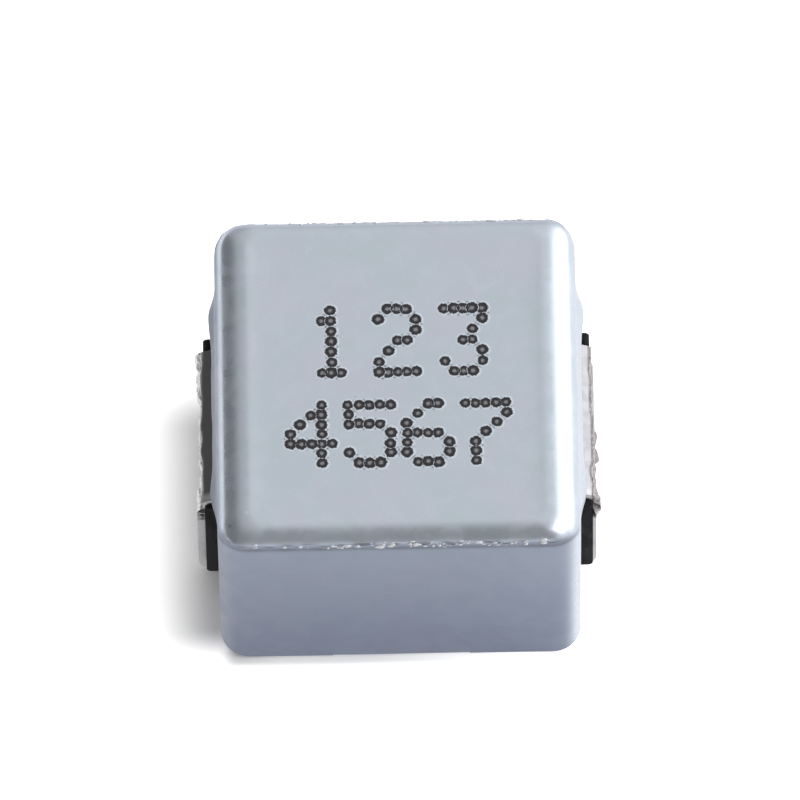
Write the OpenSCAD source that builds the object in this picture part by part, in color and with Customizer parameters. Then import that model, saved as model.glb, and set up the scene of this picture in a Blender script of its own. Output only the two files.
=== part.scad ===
// Shielded surface-mount power inductor: a flat-wire winding pressed into a block of
// magnetic powder, two strip terminals folded over its sides, and a drawn metal can
// that covers the block and grips it with two tabs turned under its floor.
// The origin is on the board, at the middle of the can. +X and -X are the terminal sides.

/* [Shield can] */
// Width of the can across the terminal sides
can_w = 13.2; // [12.4:0.1:15]
// Depth of the can from front to back
can_d = 13.5; // [12.4:0.1:15]
// Height of the can above the board
can_h = 9; // [8.2:0.1:11]
// Thickness of the can's sheet
can_t = 0.3; // [0.2:0.05:0.4]
// Radius of the upright corners
corner_r = 1.1; // [1:0.05:1.5]
// Radius of the top bends along the terminal sides
side_bend_r = 1; // [0.8:0.05:1.2]
// Radius of the top bends along the front and the back
front_bend_r = 0.7; // [0.6:0.05:0.9]
// Height of the wall's lower edge above the board
wall_lift = 0.1; // [0.05:0.05:0.25]
// Gap between the can and the pressed block
can_gap = 0.05; // [0.02:0.01:0.1]

/* [Side windows] */
// Width of the window that each terminal passes through
window_w = 8; // [7.6:0.1:9]
// Height of the window's top edge above the board
window_top = 7; // [6.4:0.1:7.2]
// How far the window's top lip is pushed outwards at its middle
lip_out = 0.17; // [0.05:0.01:0.25]
// How far the lip is pushed outwards at the window's corners
lip_corner_out = 0.3; // [0.1:0.01:0.35]
// Height of wall over which the lip swells
lip_h = 0.8; // [0.4:0.05:0.9]

/* [Ground tabs] */
// Width of the tab that is turned under the front and the back
tab_w = 5; // [3:0.1:8]
// Reach of the tab under the block, from the can's outer face
tab_l = 1.9; // [1.2:0.1:2.6]
// Outer radius of the tab's bend
tab_bend_r = 0.5; // [0.45:0.05:0.7]

/* [Terminals] */
// Width of the terminal strip
strip_w = 6.2; // [5:0.1:6.6]
// Thickness of the terminal strip
strip_t = 0.3; // [0.2:0.05:0.4]
// Height of the strip's upper face where it leaves the block
strip_top = 5.35; // [4.6:0.05:5.6]
// Distance from the can's side to the outer face of the terminal's leg
leg_out = 0.8; // [0.7:0.05:1.2]
// Outer radius of the terminal's bends
strip_bend_r = 0.5; // [0.45:0.05:0.65]
// Length of the solder foot, from the leg's outer face
foot_l = 2.9; // [2:0.1:3.6]

/* [Pressed block] */
// Height of the block's floor above the board
stand_off = 0.12; // [0.05:0.01:0.15]
// Width of the boss that backs each terminal's leg
boss_w = 7.1; // [6.8:0.1:7.2]
// How far the boss sits behind the terminal's middle
boss_shift = 0.35; // [0.2:0.05:0.4]
// Thickness of the block under the winding
floor_t = 1.43; // [1:0.01:1.8]
// Thickness of the block over the winding
roof_t = 1.7; // [1.2:0.1:2]
// Distance from the block's side to the winding
side_cover = 2.1; // [2:0.1:2.4]
// Gap around what the powder is pressed onto
press_gap = 0.02; // [0.01:0.01:0.04]

/* [Winding] */
// Diameter of the powder post inside the winding
post_d = 4.7; // [4:0.1:5]
// Whole turns of the winding
turns = 6; // [5:1:7]
// Enamel and powder between two turns
turn_gap = 0.06; // [0.04:0.01:0.1]
// Angle by which each lead leaves the straight way to its terminal
lead_angle = 20; // [15:1:25]
// Inner radius of the lead's bend
lead_bend_r = 0.3; // [0.2:0.05:0.4]

/* [Hidden] */

round_fn = 96;       // segments of the round forms
turn_steps = 36;     // stations in each turn of the winding
bend_steps = 6;      // stations in each bend of a lead
cut = 1;             // how far a cutter runs past what it cuts
graze = 0.01;        // how deep a swelling's rim is sunk under the wall
swell_cols = 20;     // columns of the swelling's grid
swell_rows = 8;      // rows of the swelling's grid

// The pressed block fits the inside of the can.
inset = can_t + can_gap;
core_w = can_w - 2 * inset;
core_d = can_d - 2 * inset;
core_top = can_h - inset;

// The terminal's strip runs out of the block, over the boss and under it.
leg_x = can_w / 2 + leg_out;
strip_low = strip_top - strip_t;
strip_inner_r = strip_bend_r - strip_t;
boss_x = leg_x - strip_t - press_gap;
foot_x = leg_x - foot_l;

// The winding fills what the floor, the roof, the sides and the post leave free.
wind_base = stand_off + floor_t;
wind_top = core_top - roof_t;
wind_r = core_w / 2 - side_cover;
wind_in = post_d / 2 + press_gap;
wire_w = wind_r - wind_in;
mid_r = (wind_r + wind_in) / 2;
swept = turns * 360 + 2 * lead_angle;
turn_pitch = (wind_top - wind_base + turn_gap) / (swept / 360 + 1);
wire_t = turn_pitch - turn_gap;
lead_slope = turn_pitch / (2 * PI * mid_r);

// Each lead leaves its last turn along a tangent and turns towards the terminal
// just outside the winding.
first_angle = -90 - lead_angle;
wire_bend_r = lead_bend_r + wire_t / 2;
riser_run = sqrt(pow(wind_r + turn_gap, 2) - pow(wind_in, 2)) + wire_t / 2;
low_z = wind_base + wire_t / 2;
high_z = low_z + turn_pitch * swept / 360;
lead_drop = lead_slope * riser_run;

// The terminal's tongue ends just outside the winding.
tongue_x = wind_r + turn_gap;

// ---------------------------------------------------------------- plain shapes

// A rectangle with round corners, centred on the origin
module round_rectangle(w, d, r) {
    square([w - 2 * r, d], center = true);
    square([w, d - 2 * r], center = true);
    for (sx = [-1, 1], sy = [-1, 1])
        translate([sx * (w / 2 - r), sy * (d / 2 - r)]) circle(r, $fn = round_fn);
}

// A quarter of a disc in the first quadrant
module quarter_disc(r) {
    intersection() {
        circle(r, $fn = round_fn);
        square(r);
    }
}

// A quarter of a ring in the first quadrant
module quarter_ring(r_out, r_in) {
    difference() {
        quarter_disc(r_out);
        circle(r_in, $fn = round_fn);
    }
}

// A block with round upright corners and a rounded top edge of one radius
module domed_block(w, d, h, r_corner, r_top) {
    linear_extrude(h - r_top) round_rectangle(w, d, r_corner);
    linear_extrude(h) round_rectangle(w - 2 * r_top, d - 2 * r_top, r_corner - r_top);
    for (s = [-1, 1]) {
        translate([-w / 2 + r_corner, s * (d / 2 - r_top), h - r_top])
            rotate([0, 90, 0]) cylinder(r = r_top, h = w - 2 * r_corner, $fn = round_fn);
        translate([s * (w / 2 - r_top), -d / 2 + r_corner, h - r_top])
            rotate([-90, 0, 0]) cylinder(r = r_top, h = d - 2 * r_corner, $fn = round_fn);
    }
    for (sx = [-1, 1], sy = [-1, 1])
        translate([sx * (w / 2 - r_corner), sy * (d / 2 - r_corner), h - r_top])
            rotate_extrude($fn = round_fn) {
                square([r_corner - r_top, r_top]);
                translate([r_corner - r_top, 0]) quarter_disc(r_top);
            }
}

// The can's form, or the form inside it: wider bends on the terminal sides
module can_form(shrink) {
    w = can_w - 2 * shrink;
    d = can_d - 2 * shrink;
    h = can_h - shrink;
    r_side = side_bend_r - shrink;
    intersection() {
        domed_block(w, d, h, corner_r - shrink, front_bend_r - shrink);
        rotate([90, 0, 0]) linear_extrude(d + cut, center = true)
            translate([0, h / 2 - cut / 2]) {
                translate([0, -r_side / 2]) square([w, h + cut - r_side], center = true);
                square([w - 2 * r_side, h + cut], center = true);
                for (s = [-1, 1])
                    translate([s * (w / 2 - r_side), (h + cut) / 2 - r_side])
                        circle(r_side, $fn = round_fn);
            }
    }
}

// ---------------------------------------------------------------- shield can

// A smooth step from 0 to 1
function ease(t) = let(c = min(max(t, 0), 1)) c * c * (3 - 2 * c);

// How far the wall swells around a window, at a place y along it and a height z
swell_end = window_w / 2 + lip_h;
function swell_along(y) = let(u = abs(y), edge = window_w / 2 - lip_corner_out)
    (lip_out + (lip_corner_out - lip_out) * ease((u - edge + 2 * lip_h) / (2 * lip_h)))
    * (1 - ease((u - edge) / (swell_end - edge)));
function swell_up(z) = 1 - ease((z > window_top ? z - window_top : (window_top - z) / 2) / lip_h);

// The swollen piece of wall, with its outer face moved in by shift
module wall_swell(shift, depth) {
    face_x = can_w / 2 - shift;
    low = window_top - 2 * lip_h;
    tall = 3 * lip_h;
    cols = swell_cols + 1;
    rows = swell_rows + 1;
    front = [for (i = [0:swell_rows], j = [0:swell_cols])
        let(y = -swell_end + 2 * swell_end * j / swell_cols, z = low + tall * i / swell_rows)
        [face_x - graze + swell_along(y) * swell_up(z), y, z]];
    back = [for (p = front) [face_x - depth, p[1], p[2]]];
    n = rows * cols;
    quads = [for (i = [0:swell_rows - 1], j = [0:swell_cols - 1])
        let(a = i * cols + j) [a, a + 1, a + cols + 1, a + cols]];
    polyhedron(points = concat(front, back), faces = concat(
        [for (q = quads) [q[3], q[2], q[0]]], [for (q = quads) [q[2], q[1], q[0]]],
        [for (q = quads) [n + q[0], n + q[1], n + q[2], n + q[3]]],
        [for (j = [0:swell_cols - 1]) [j, j + 1, n + j + 1, n + j]],
        [for (j = [0:swell_cols - 1]) let(a = swell_rows * cols + j) [a + 1, a, n + a, n + a + 1]],
        [for (i = [0:swell_rows - 1]) let(a = i * cols) [a + cols, a, n + a, n + a + cols]],
        [for (i = [0:swell_rows - 1]) let(a = i * cols + swell_cols)
            [a, a + cols, n + a + cols, n + a]]));
}

// The tab at the front: down from the wall, round a bend and under the block
module ground_tab() {
    straight = tab_l - tab_bend_r;
    rotate([90, 0, 90]) linear_extrude(tab_w, center = true)
        translate([-can_d / 2, 0]) {
            translate([0, tab_bend_r]) square([can_t, front_bend_r]);
            translate([tab_bend_r, tab_bend_r]) rotate(180)
                quarter_ring(tab_bend_r, tab_bend_r - can_t);
            translate([tab_bend_r, 0]) square([straight, can_t]);
        }
}

module shield_can() {
    color("lightsteelblue") {
        difference() {
            union() {
                can_form(0);
                for (s = [0, 180]) rotate(s) wall_swell(0, can_t / 2);
            }
            difference() {
                can_form(can_t);
                translate([-can_w, -can_d, -cut]) cube([2 * can_w, 2 * can_d, cut]);
            }
            for (s = [0, 180]) rotate(s) wall_swell(can_t, can_t);
            // open floor
            translate([-can_w, -can_d, -cut]) cube([2 * can_w, 2 * can_d, cut + wall_lift]);
            // one cutter opens both windows
            translate([-can_w, -window_w / 2, -cut])
                cube([2 * can_w, window_w, cut + window_top]);
        }
        for (s = [0, 180]) rotate(s) ground_tab();
    }
}

// ---------------------------------------------------------------- pressed block

// The boss under the strip's outer bend, with corners that fit inside both bends
module boss() {
    long = boss_x - core_w / 2 + cut;
    tall = strip_low - press_gap - strip_t;
    translate([core_w / 2 - cut, boss_shift + boss_w / 2, strip_t])
        rotate([90, 0, 0]) linear_extrude(boss_w) {
            square([long - strip_inner_r, tall]);
            translate([0, strip_inner_r]) square([long, tall - 2 * strip_inner_r]);
            for (z = [strip_inner_r, tall - strip_inner_r])
                translate([long - strip_inner_r, z]) circle(strip_inner_r, $fn = round_fn);
        }
}

// Room for one lead on the +X side: along the tangent, then up or down to the tongue
module lead_room(low, high, lead_low, lead_high) {
    wide = wire_w + 2 * press_gap;
    end = riser_run + wire_t / 2 + press_gap;
    rotate(lead_angle) translate([0, -wind_in - wide + press_gap, 0]) {
        translate([0, 0, lead_low]) cube([end, wide, lead_high - lead_low]);
        translate([end - wire_t - 2 * press_gap - lead_bend_r, 0, low])
            cube([wire_t + 2 * press_gap + lead_bend_r, wide, high - low]);
    }
}

module core_block() {
    color("dimgray") difference() {
        union() {
            difference() {
                can_form(inset);
                translate([-can_w, -can_d, -cut])
                    cube([2 * can_w, 2 * can_d, cut + stand_off]);
            }
            boss();
            mirror([1, 0, 0]) boss();
        }
        // the ring that the winding fills
        translate([0, 0, wind_base - press_gap]) difference() {
            cylinder(r = wind_r + press_gap, h = wind_top - wind_base + 2 * press_gap,
                     $fn = round_fn);
            translate([0, 0, -cut])
                cylinder(d = post_d, h = wind_top - wind_base + 2 * cut, $fn = round_fn);
        }
        // the upper lead comes down to the right terminal
        lead_room(strip_top - press_gap, wind_top + press_gap,
                  wind_top - wire_t - press_gap, wind_top + lead_drop + press_gap);
        // the lower lead comes up to the left terminal
        mirror([1, 0, 0])
            lead_room(wind_base - press_gap, strip_low + press_gap,
                      wind_base - lead_drop - press_gap, wind_base + wire_t + press_gap);
        for (s = [0, 180]) rotate(s) {
            // slot for the terminal's tongue
            translate([tongue_x - press_gap, -strip_w / 2 - press_gap, strip_low - press_gap])
                cube([core_w, strip_w + 2 * press_gap, strip_t + 2 * press_gap]);
            // recess for the terminal's foot
            translate([foot_x - press_gap, -strip_w / 2 - press_gap, -cut])
                cube([core_w, strip_w + 2 * press_gap, cut + strip_t]);
            // recess for the can's tab, and a step that clears the tab's bend
            translate([-tab_w / 2 - press_gap, -can_d / 2, -cut]) {
                cube([tab_w + 2 * press_gap, tab_l + press_gap, cut + can_t]);
                cube([tab_w + 2 * press_gap, tab_bend_r, cut + tab_bend_r]);
            }
        }
    }
}

// ---------------------------------------------------------------- winding

// Four corners of the flat wire at a place, for a heading and a slope of its run
function wire_ring(place, heading, slope) =
    let(side = [sin(heading), -cos(heading), 0] * wire_w / 2,
        up = [-sin(slope) * cos(heading), -sin(slope) * sin(heading), cos(slope)] * wire_t / 2)
    [place - side - up, place + side - up, place + side + up, place - side + up];

// A place on a lead's line: run along the tangent from where the turn ends
function lead_place(angle, run, z) =
    [mid_r * cos(angle) + run * cos(angle + 90), mid_r * sin(angle) + run * sin(angle + 90), z];

last_angle = first_angle + swept;
low_lead_z = low_z - lead_drop;
high_lead_z = high_z + lead_drop;
wire_rings = concat(
    // up from the first bend to the left terminal's tongue, listed from the top
    [wire_ring(lead_place(first_angle, -riser_run, strip_low), first_angle + 90, -90)],
    [for (i = [0:bend_steps]) let(a = -90 + 90 * i / bend_steps)
        wire_ring(lead_place(first_angle, -riser_run + wire_bend_r * (1 + sin(a)),
                             low_lead_z + wire_bend_r * (1 - cos(a))), first_angle + 90, a)],
    [for (i = [0:round(swept * turn_steps / 360)])
        let(a = first_angle + swept * i / round(swept * turn_steps / 360))
        wire_ring([mid_r * cos(a), mid_r * sin(a), low_z + turn_pitch * (a - first_angle) / 360],
                  a + 90, 0)],
    [for (i = [0:bend_steps]) let(a = -90 * i / bend_steps)
        wire_ring(lead_place(last_angle, riser_run - wire_bend_r * (1 + sin(a)),
                             high_lead_z - wire_bend_r * (1 - cos(a))), last_angle + 90, a)],
    [wire_ring(lead_place(last_angle, riser_run, strip_top), last_angle + 90, -90)]);

module winding() {
    n = len(wire_rings);
    corners = [for (ring = wire_rings) each ring];
    color("orangered") polyhedron(points = corners, faces = concat(
        [[0, 1, 2, 3]],
        [for (i = [0:n - 2], k = [0:3]) let(a = 4 * i + k, b = 4 * i + (k + 1) % 4)
            [a, a + 4, b]],
        [for (i = [0:n - 2], k = [0:3]) let(a = 4 * i + k, b = 4 * i + (k + 1) % 4)
            [b, a + 4, b + 4]],
        [[4 * n - 1, 4 * n - 2, 4 * n - 3, 4 * n - 4]]));
}

// ---------------------------------------------------------------- terminals

// The right terminal: tongue, bend, leg, bend and solder foot in one strip
module terminal() {
    arm_end = leg_x - strip_bend_r;
    rotate([90, 0, 0]) linear_extrude(strip_w, center = true) {
        translate([tongue_x, strip_low]) square([arm_end - tongue_x, strip_t]);
        translate([arm_end, strip_top - strip_bend_r]) quarter_ring(strip_bend_r, strip_inner_r);
        translate([leg_x - strip_t, strip_bend_r]) square([strip_t, strip_top - 2 * strip_bend_r]);
        translate([arm_end, strip_bend_r]) rotate(-90) quarter_ring(strip_bend_r, strip_inner_r);
        translate([foot_x, 0]) square([foot_l - strip_bend_r, strip_t]);
    }
}

module terminal_left() {
    color("gainsboro") mirror([1, 0, 0]) terminal();
}

module terminal_right() {
    color("gainsboro") terminal();
}

shield_can();
core_block();
winding();
terminal_left();
terminal_right();
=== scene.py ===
"""Looks of a shielded surface-mount inductor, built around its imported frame.

The shield can, its two strip terminals and the marking on its top are new meshes. The pressed
block and the winding keep their solids and get their finishes here. Lengths are metres.
"""

import logging
import math
from dataclasses import dataclass
from enum import Enum, IntEnum
from typing import Callable

import bmesh
import bpy
import numpy as np
from mathutils import Matrix, Vector


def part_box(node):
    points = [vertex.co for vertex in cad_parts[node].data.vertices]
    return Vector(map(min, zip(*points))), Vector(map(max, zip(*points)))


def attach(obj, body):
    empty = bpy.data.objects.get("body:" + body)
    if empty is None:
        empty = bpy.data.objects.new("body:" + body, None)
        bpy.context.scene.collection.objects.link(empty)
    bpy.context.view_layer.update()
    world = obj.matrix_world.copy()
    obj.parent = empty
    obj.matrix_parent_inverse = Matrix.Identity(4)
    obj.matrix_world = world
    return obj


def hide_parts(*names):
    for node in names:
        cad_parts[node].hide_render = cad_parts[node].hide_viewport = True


LOG = logging.getLogger("inductor")
MM = 0.001
BODY = "root"
LATTICE = 256                         # steps after which a random field repeats
MERGE = 1e-6                          # distance under which two points become one
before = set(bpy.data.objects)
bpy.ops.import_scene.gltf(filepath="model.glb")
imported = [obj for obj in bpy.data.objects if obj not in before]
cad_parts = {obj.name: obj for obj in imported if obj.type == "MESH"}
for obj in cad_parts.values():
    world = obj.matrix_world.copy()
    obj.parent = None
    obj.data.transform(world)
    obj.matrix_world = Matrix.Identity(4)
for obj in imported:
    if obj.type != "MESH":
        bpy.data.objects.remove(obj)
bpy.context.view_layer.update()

Colour = tuple[float, float, float]
Span = tuple[float, float]


class Seed(IntEnum):
    """Seeds of everything random, so that each run gives the same part."""

    DOTS = 7
    CREASE_BROAD = 11
    CREASE_FINE = 12
    LIP = 21
    WALLS = 31
    STRIP_LEFT = 41
    STRIP_RIGHT = 51
    FRONT_LUMPS = 61
    BACK_LUMPS = 62
    GRIME = 71


class Side(IntEnum):
    """The terminal sides, as the sign of their direction from the middle."""

    LEFT = -1
    RIGHT = 1


class Edge(IntEnum):
    """The can's other two sides, likewise."""

    FRONT = -1
    BACK = 1


# ------------------------------------------------------------------ arithmetic on whole arrays

def ease(t: np.ndarray) -> np.ndarray:
    """Smooth step from 0 to 1: c * c * (3 - 2 c), with c the value kept between 0 and 1.

    Args:
        t: Values of any size.

    Returns:
        The eased values.
    """
    c = np.clip(t, 0.0, 1.0)
    return c * c * (3.0 - 2.0 * c)


def bell(t: np.ndarray, centre: float, width: float) -> np.ndarray:
    """Bell curve: e to the minus of the squared distance from the centre over the width.

    Args:
        t: Values of any size.
        centre: Where the curve is 1.
        width: Distance at which it has fallen to 1/e.

    Returns:
        Values between 0 and 1.
    """
    return np.exp(-((t - centre) / width) ** 2)


def roughen(u: np.ndarray, v: np.ndarray, seed: int) -> np.ndarray:
    """Smooth random field: random heights on a whole-number lattice, eased between neighbours.

    Args:
        u: First coordinate, in lattice steps.
        v: Second coordinate, in lattice steps.
        seed: Seed of the lattice.

    Returns:
        Values between -1 and 1.
    """
    lattice = np.random.default_rng(seed).uniform(-1.0, 1.0, (LATTICE, LATTICE))
    iu, iv = np.floor(u).astype(int), np.floor(v).astype(int)
    fu, fv = ease(u - iu), ease(v - iv)
    iu, iv = iu % LATTICE, iv % LATTICE
    ju, jv = (iu + 1) % LATTICE, (iv + 1) % LATTICE
    low = lattice[iu, iv] * (1 - fu) + lattice[ju, iv] * fu
    high = lattice[iu, jv] * (1 - fu) + lattice[ju, jv] * fu
    return low * (1 - fv) + high * fv


def stretches(*parts: tuple[float, float, int]) -> np.ndarray:
    """Joins evenly spaced stretches into one rising list without repeats.

    Args:
        parts: Start, end and number of steps of each stretch.

    Returns:
        The values, with the last end included.
    """
    runs = [np.linspace(a, b, n, endpoint=False) for a, b, n in parts]
    return np.concatenate(runs + [np.array([parts[-1][1]])])


# ------------------------------------------------------------------ meshes from grids

@dataclass
class Grid:
    """A sheet of points in rows and columns, with the cells that are kept."""

    points: np.ndarray
    keep: np.ndarray | None = None
    closed: bool = False

    def faces(self, start: int) -> np.ndarray:
        """Four corners of each kept cell, turned so that rows x columns gives the outside.

        Args:
            start: Index of the grid's first point in the mesh.

        Returns:
            One row of four indices a cell.
        """
        rows, cols = self.points.shape[:2]
        index = start + np.arange(rows * cols).reshape(rows, cols)
        if self.closed:
            index = np.concatenate([index, index[:, :1]], axis=1)
        quads = np.stack([index[:-1, :-1], index[1:, :-1], index[1:, 1:], index[:-1, 1:]], axis=-1)
        return quads.reshape(-1, 4) if self.keep is None else quads[self.keep]


def link_piece(name: str, mesh: bpy.types.Mesh) -> bpy.types.Object:
    """Makes an object of a mesh, at the origin, and links it to the scene."""
    piece = bpy.data.objects.new(name, mesh)
    bpy.context.scene.collection.objects.link(piece)
    return piece


def mesh_from_grids(name: str, grids: list[Grid]) -> bpy.types.Object:
    """Puts grids into one mesh, merges the points they share and drops loose ones.

    Args:
        name: Name of the piece.
        grids: The grids.

    Returns:
        The new object, linked to the scene, at the origin.
    """
    points, faces, start = [], [], 0
    for grid in grids:
        points.append(grid.points.reshape(-1, 3))
        faces.append(grid.faces(start))
        start += len(points[-1])
    mesh = bpy.data.meshes.new(name)
    mesh.from_pydata(np.concatenate(points).tolist(), [], np.concatenate(faces).tolist())
    work = bmesh.new()
    work.from_mesh(mesh)
    bmesh.ops.remove_doubles(work, verts=work.verts, dist=MERGE)
    bmesh.ops.dissolve_degenerate(work, edges=work.edges, dist=MERGE)
    loose = [v for v in work.verts if not v.link_faces]
    bmesh.ops.delete(work, geom=loose, context="VERTS")
    work.to_mesh(mesh)
    work.free()
    return link_piece(name, mesh)


def thicken(piece: bpy.types.Object, thickness: float, sharp_deg: float = 40.0) -> None:
    """Gives an open sheet its thickness on the inner side and shades it smooth between edges.

    Args:
        piece: The sheet.
        thickness: Thickness of the finished sheet.
        sharp_deg: Angle from which an edge stays crisp.
    """
    solid = piece.modifiers.new("sheet", "SOLIDIFY")
    solid.thickness = thickness
    solid.offset = -1.0
    solid.use_even_offset = False
    graph = bpy.context.evaluated_depsgraph_get()
    mesh = bpy.data.meshes.new_from_object(piece.evaluated_get(graph))
    piece.modifiers.clear()
    mesh.shade_smooth()
    mesh.set_sharp_from_angle(angle=math.radians(sharp_deg))
    piece.data = mesh


def places(piece: bpy.types.Object) -> np.ndarray:
    """Every point of a piece's mesh, one row each."""
    flat = np.empty(len(piece.data.vertices) * 3, np.float32)
    piece.data.vertices.foreach_get("co", flat)
    return flat.reshape(-1, 3).astype(float)


def paint(piece: bpy.types.Object, layer: str, rule: Callable[[np.ndarray], np.ndarray]) -> None:
    """Stores a value at each point of a piece, for its material to read.

    Args:
        piece: The piece.
        layer: Name of the attribute.
        rule: Works out the values from the points, one row each.
    """
    values = rule(places(piece)).astype(np.float32)
    attribute = piece.data.attributes.new(layer, "FLOAT", "POINT")
    attribute.data.foreach_set("value", values)


def dress(piece: bpy.types.Object, material: bpy.types.Material) -> None:
    """Gives a piece one material, in place of what it had."""
    piece.data.materials.clear()
    piece.data.materials.append(material)


def enrol(piece: bpy.types.Object, slot: str, *nodes: str) -> None:
    """Makes a piece ride on the part's body and hides the nodes it stands for.

    Args:
        piece: The piece.
        slot: The record's material slot; not used.
        nodes: The nodes that the piece replaces.
    """
    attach(piece, BODY)
    if nodes:
        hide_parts(*nodes)
    LOG.info("%s: %d points, %d faces", piece.name, len(piece.data.vertices), len(piece.data.polygons))


# ------------------------------------------------------------------ node trees

class Wiring:
    """Short calls for building one node tree."""

    def __init__(self, tree: bpy.types.NodeTree) -> None:
        """Starts from an empty tree.

        Args:
            tree: The tree to fill.
        """
        self.tree = tree
        self.tree.nodes.clear()

    def add(self, kind: str, **settings: object) -> bpy.types.Node:
        """Adds a node and sets its options.

        Args:
            kind: Type of the node, without the ShaderNode in front.
            settings: Options of the node, by name.

        Returns:
            The node.
        """
        node = self.tree.nodes.new(kind if kind.startswith("NodeGroup") else "ShaderNode" + kind)
        for key, value in settings.items():
            setattr(node, key, value)
        return node

    def join(self, source: bpy.types.NodeSocket, target: bpy.types.NodeSocket) -> None:
        """Links an output to an input."""
        self.tree.links.new(source, target)

    def fill(self, socket: bpy.types.NodeSocket, value: object) -> None:
        """Links a socket to an input, or sets the input's value."""
        if isinstance(value, bpy.types.NodeSocket):
            self.join(value, socket)
        else:
            socket.default_value = value

    def feed(self, node: bpy.types.Node, **inputs: object) -> bpy.types.Node:
        """Sets or links inputs of a node, with underscores for the spaces in their names.

        Args:
            node: The node.
            inputs: A socket to link, or a value to set, for each input.

        Returns:
            The node.
        """
        for key, value in inputs.items():
            self.fill(node.inputs[key.replace("_", " ")], value)
        return node

    def calc(self, operation: str, *values: object) -> bpy.types.NodeSocket:
        """Adds a math node.

        Args:
            operation: Its operation.
            values: A socket or a number for each input.

        Returns:
            Its output.
        """
        node = self.add("Math", operation=operation)
        for socket, value in zip(node.inputs, values):
            self.fill(socket, value)
        return node.outputs[0]

    def remap(self, value: bpy.types.NodeSocket, low: float, high: float,
              to_low: float = 0.0, to_high: float = 1.0) -> bpy.types.NodeSocket:
        """Eases a value from one range into another.

        Args:
            value: The value.
            low: Where the range starts.
            high: Where the range ends.
            to_low: What the start becomes.
            to_high: What the end becomes.

        Returns:
            The new value.
        """
        node = self.feed(self.add("MapRange", interpolation_type="SMOOTHSTEP"), Value=value,
                         From_Min=low, From_Max=high, To_Min=to_low, To_Max=to_high)
        return node.outputs["Result"]

    def blend(self, factor: bpy.types.NodeSocket, one: object, two: object) -> bpy.types.NodeSocket:
        """Mixes two colours.

        Args:
            factor: 0 for the first colour and 1 for the second.
            one: First colour, a socket or its values.
            two: Second colour, a socket or its values.

        Returns:
            The mixed colour.
        """
        node = self.add("Mix", data_type="RGBA")
        self.join(factor, node.inputs[0])
        for socket, colour in ((node.inputs[6], one), (node.inputs[7], two)):
            self.fill(socket, (*colour, 1.0) if isinstance(colour, tuple) else colour)
        return node.outputs[2]

    def noise(self, place: bpy.types.NodeSocket, per_mm: float,
              detail: float) -> bpy.types.NodeSocket:
        """Adds a noise texture whose size is given in the part's own millimetres.

        Args:
            place: Coordinates in metres.
            per_mm: Lumps in a millimetre.
            detail: Number of finer layers.

        Returns:
            The noise value.
        """
        node = self.feed(self.add("TexNoise"), Vector=place, Scale=per_mm / MM, Detail=detail)
        return node.outputs["Fac"]

    def layer(self, name: str) -> bpy.types.NodeSocket:
        """Reads a value that is stored at the points of the piece."""
        return self.add("Attribute", attribute_name=name).outputs["Fac"]

    def bump(self, height: bpy.types.NodeSocket, strength: float, depth: float,
             **under: bpy.types.NodeSocket) -> bpy.types.NodeSocket:
        """Adds a bump.

        Args:
            height: Its height.
            strength: How much it counts.
            depth: How deep it is.
            under: The normal of a bump that lies under it, as Normal.

        Returns:
            Its normal.
        """
        node = self.feed(self.add("Bump"), Strength=strength, Distance=depth, Height=height, **under)
        return node.outputs[0]


class Effect(Enum):
    """Shared surface effects, each built once as a node group."""

    CLOUDS = "clouded plating"
    GRAIN = "fine grain"
    SPECKS = "small specks"


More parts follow.
